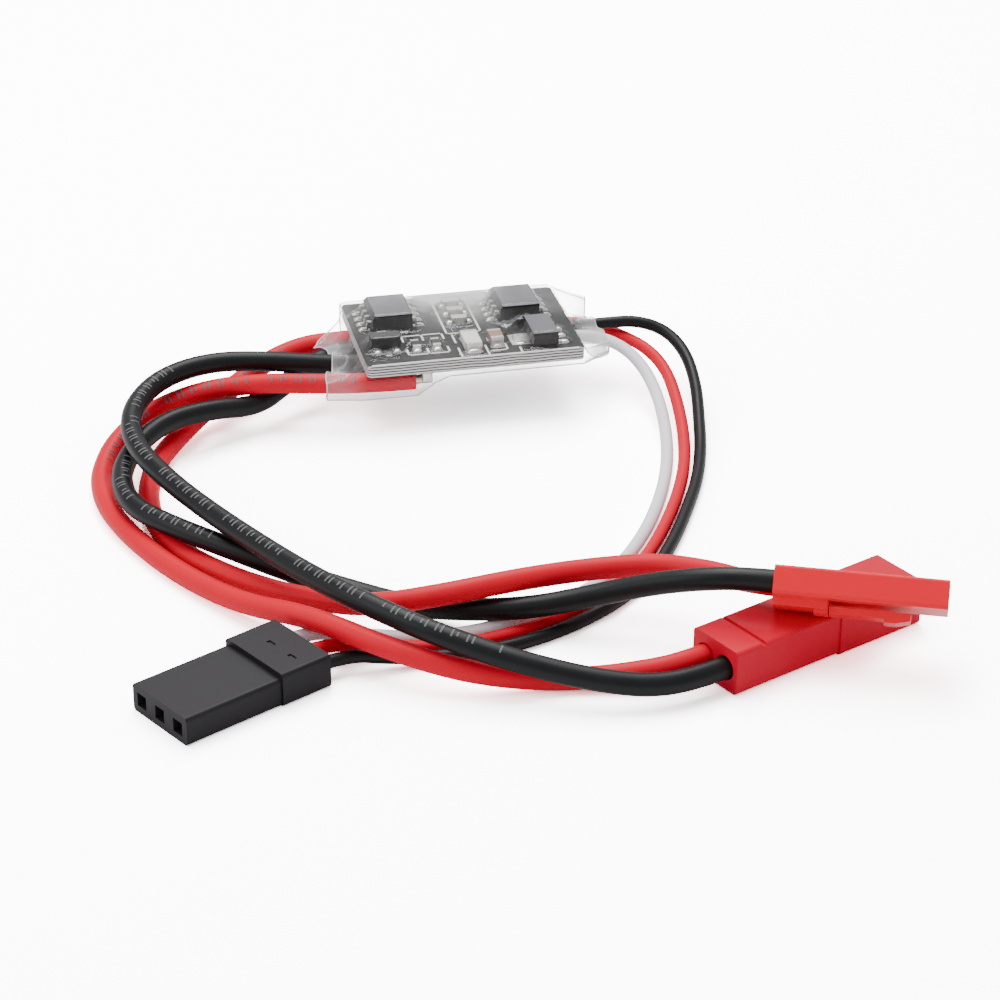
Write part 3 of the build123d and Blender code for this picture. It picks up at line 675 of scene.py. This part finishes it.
across = np.linspace(0, 1, ROWS)[None, :]
share = np.linspace(0, 1, COLUMNS)[:, None]
film_x = along(across, LEFT_CUT) * (1 - share) + along(across, RIGHT_CUT) * share
film_y = along(film_x, FILM_FRONT) * (1 - across) + along(film_x, FILM_BACK) * across


def stand(height_map, low_x, high_x, low_y, high_y, height, margin=0.1):
    """Raises a height map over a block's footprint."""
    inside = (film_x > low_x - margin) & (film_x < high_x + margin)
    inside &= (film_y > low_y - margin) & (film_y < high_y + margin)
    height_map[inside] = np.maximum(height_map[inside], height)


def lay_wires(height_map, sign):
    """Raises a height map over the wires that pass through the film; sign -1 is their underside."""
    for name, (diameter, *_) in WIRES.items():
        route = np.array(ROUTES[name][:6])
        steps = np.linspace(0, len(route) - 1, 120)
        for x, y, z in zip(*(np.interp(steps, range(len(route)), route[:, k]) for k in range(3))):
            reach = diameter / 2 + WIRE_GAP
            gap = np.hypot(film_x - x, film_y - y)
            near = gap < reach
            swell = np.sqrt(np.maximum(reach**2 - gap**2, 0))
            crest = sign * (z + TABLE_Z) + swell
            height_map[near] = np.maximum(height_map[near], crest[near])


def shrink(height_map, front, back, pull):
    """A film laid on a height map: taut between high points, and drawn down in between."""
    sheet = height_map.max() * np.ones_like(height_map)
    sheet[:, 0] = front
    sheet[:, -1] = back
    for _ in range(SHRINK_STEPS):
        inner = sheet.copy()
        inner[1:-1, 1:-1] = (
            sheet[2:, 1:-1] + sheet[:-2, 1:-1] + sheet[1:-1, 2:] + sheet[1:-1, :-2]
        ) / 4 - pull * STRIP**2 / 4
        inner[0] = inner[1]
        inner[-1] = inner[-2]
        inner[:, 0] = front
        inner[:, -1] = back
        sheet = np.maximum(inner, height_map)
    return sheet


over = np.full_like(film_x, -1.0)
on_board = (np.abs(film_x) < 10.85) & (np.abs(film_y) < 7.6)
over[on_board] = TOP_Z + 0.04
for node in (
    "transistor_body", "status_lamp_caps", "brown_capacitor_caps", "chip_resistor_caps",
    "chip_capacitor_caps",
):
    low, high = extent(node)
    stand(over, low.x, high.x, low.y, high.y, high.z)
# Over a rounded chip the film turns down just inside its edge
for node in CHIP_TOPS:
    low, high = extent(node)
    stand(over, low.x, high.x, low.y, high.y, high.z, -0.12)
    stand(over, low.x, high.x, low.y, high.y, high.z - 0.2, 0.08)
for x, y in CHIPS:
    for row in LEAD_ROWS:
        lead_y = y + row
        stand(over, x - 2.45, x + 2.45, lead_y - 0.2, lead_y + 0.2, TOP_Z + 0.95, 0.04)
        stand(over, x - 3.2, x + 3.2, lead_y - 0.25, lead_y + 0.25, TOP_Z + 0.32, 0.04)
for x, y, wide, deep, high in solder_spots:
    stand(over, x - wide * 0.8, x + wide * 0.8, y - deep * 0.8, y + deep * 0.8, TOP_Z + high, 0.06)
lay_wires(over, 1)
top_sheet = shrink(over, along(film_x[:, 0], TOP_FRONT), along(film_x[:, -1], TOP_BACK), CLING) + FILM_RISE

under = np.full_like(film_x, -9.0)
under[on_board] = -BOARD_Z + 0.04
for node in ("controller_body", "power_solder_joints"):
    low, high = extent(node)
    stand(under, low.x, high.x, low.y, high.y, -low.z)
lay_wires(under, -1)
low_sheet = -shrink(
    under, -along(film_x[:, 0], LOW_FRONT), -along(film_x[:, -1], LOW_BACK), LOW_CLING
) - FILM_RISE
low_sheet = np.maximum(low_sheet, LOWEST_FILM)

# The tube's loop at each station along X: over the top, down the back, back underneath, up the front
loops = []
for k in range(COLUMNS):
    loop = [(film_x[k, j], film_y[k, j], top_sheet[k, j]) for j in range(ROWS)]
    middle = (top_sheet[k, -1] + low_sheet[k, -1]) / 2
    loop.append((film_x[k, -1], film_y[k, -1] + FOLD_BULGE, middle))
    loop += [(film_x[k, j], film_y[k, j], low_sheet[k, j]) for j in range(ROWS - 1, -1, -1)]
    middle = (top_sheet[k, 0] + low_sheet[k, 0]) / 2
    loop.append((film_x[k, 0], film_y[k, 0] - FOLD_BULGE, middle))
    loops.append(loop)
count = len(loops[0])
film_points = [point for loop in loops for point in loop]
film_faces = []
for k in range(COLUMNS - 1):
    for j in range(count):
        a = k * count + j
        b = k * count + (j + 1) % count
        film_faces.append((a, a + count, b + count, b))
drape = piece("shrink_film_drape", film_points, film_faces, clear_film, smooth=True)
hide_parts("shrink_film")


def pale_line(name, places, thick, closed):
    """A thin bright line of film along a list of places in millimetres."""
    line = bpy.data.curves.new(name, "CURVE")
    line.dimensions = "3D"
    line.bevel_depth = thick / 2 * MM
    line.bevel_resolution = 2
    run = line.splines.new("POLY")
    run.points.add(len(places) - 1)
    for point, place in zip(run.points, places):
        point.co = (*(c * MM for c in place), 1)
    run.use_cyclic_u = closed
    line.materials.append(rim_film)
    bead = bpy.data.objects.new(name, line)
    bpy.context.scene.collection.objects.link(bead)
    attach(bead, "controller")


# The cut rims and the front folds catch the light as thin pale lines
pale_line("film_rim_left", loops[0], 0.13, True)
pale_line("film_rim_right", loops[-1], 0.1, True)
on_edge = [loop for loop in loops if abs(loop[0][0]) < 10.9]
pale_line("film_fold_top", [loop[0] for loop in on_edge], 0.12, False)
pale_line("film_fold_low", [loop[-2] for loop in loops], 0.13, False)

# ---------------------------------------------------------------- marks printed on the wires
# A generic row of short bars stands for the maker's print: first and last share of the wire's
# length, and the side that they face, in degrees round from the wire's top towards the front
PRINTS = {
    "battery_negative_wire": (0.2, 0.8, 20),
    "battery_positive_wire": (0.03, 0.3, 35),
    "motor_negative_wire": (0.32, 0.5, 20),
    "motor_positive_wire": (0.08, 0.2, 40),
}
# A bar's width and height; short bars are every fifth, and a wider gap follows every thirteenth
BAR = (0.17, 0.8)
SHORT_BAR = BAR[1] / 1.7
BAR_GAP = 0.48
SHORT_EVERY = 5
PAIR_GAP = 1.9
GROUP = 13
GROUP_GAP = 5
STEPS_PER_POINT = 12
LOOK_AHEAD = 0.3
PRINT_RISE = 0.018
ARC_STEPS = 5
for name, (first_share, last_share, lean) in PRINTS.items():
    radius = WIRES[name][0] / 2
    route = np.array(ROUTES[name])
    # The quadratic curve through the route's corner points, as the lead's spline runs
    trace = []
    for a, b, c in zip(route, route[1:], route[2:]):
        for t in np.linspace(0, 1, STEPS_PER_POINT, endpoint=False):
            trace.append((1 - t) ** 2 * (a + b) / 2 + 2 * t * (1 - t) * b + t**2 * (b + c) / 2)
    trace = np.array(trace)
    reach = np.concatenate([[0], np.cumsum(np.linalg.norm(np.diff(trace, axis=0), axis=1))])
    bars = []
    bar_faces = []
    spot = reach[-1] * first_share
    index = 0
    while spot < reach[-1] * last_share:
        index += 1
        spacing = (1 if index % 2 else PAIR_GAP) if index % GROUP else GROUP_GAP
        spot += BAR_GAP * spacing
        middle = Vector([np.interp(spot, reach, trace[:, k]) for k in range(3)])
        ahead = Vector([np.interp(spot + LOOK_AHEAD, reach, trace[:, k]) for k in range(3)])
        forward = (ahead - middle).normalized()
        upward = (Vector((0, 0, 1)) - forward * forward.z).normalized()
        front = Vector((0.0, -1.0, 0.0))
        frontward = (front - forward * front.dot(forward) - upward * front.dot(upward)).normalized()
        tall_half = (BAR[1] if index % SHORT_EVERY else SHORT_BAR) / 2
        # A bar wraps round the wire as a thin arc
        first = len(bars)
        for k in range(ARC_STEPS + 1):
            turn = radians(lean) + (2 * k / ARC_STEPS - 1) * tall_half / radius
            out = upward * cos(turn) + frontward * sin(turn)
            for step in (-1, 1):
                for rise in (-0.01, PRINT_RISE):
                    place = middle + forward * step * BAR[0] / 2 + out * (radius + rise)
                    bars.append((place.x, place.y, place.z + TABLE_Z))
        for k in range(ARC_STEPS):
            a = first + 4 * k
            bar_faces += [
                (a + 1, a + 3, a + 7, a + 5), (a, a + 4, a + 6, a + 2),
                (a, a + 1, a + 5, a + 4), (a + 2, a + 6, a + 7, a + 3),
            ]
        last = first + 4 * ARC_STEPS
        bar_faces += [(first, first + 2, first + 3, first + 1), (last, last + 1, last + 3, last + 2)]
    piece(name + "_print", bars, bar_faces, wire_print)
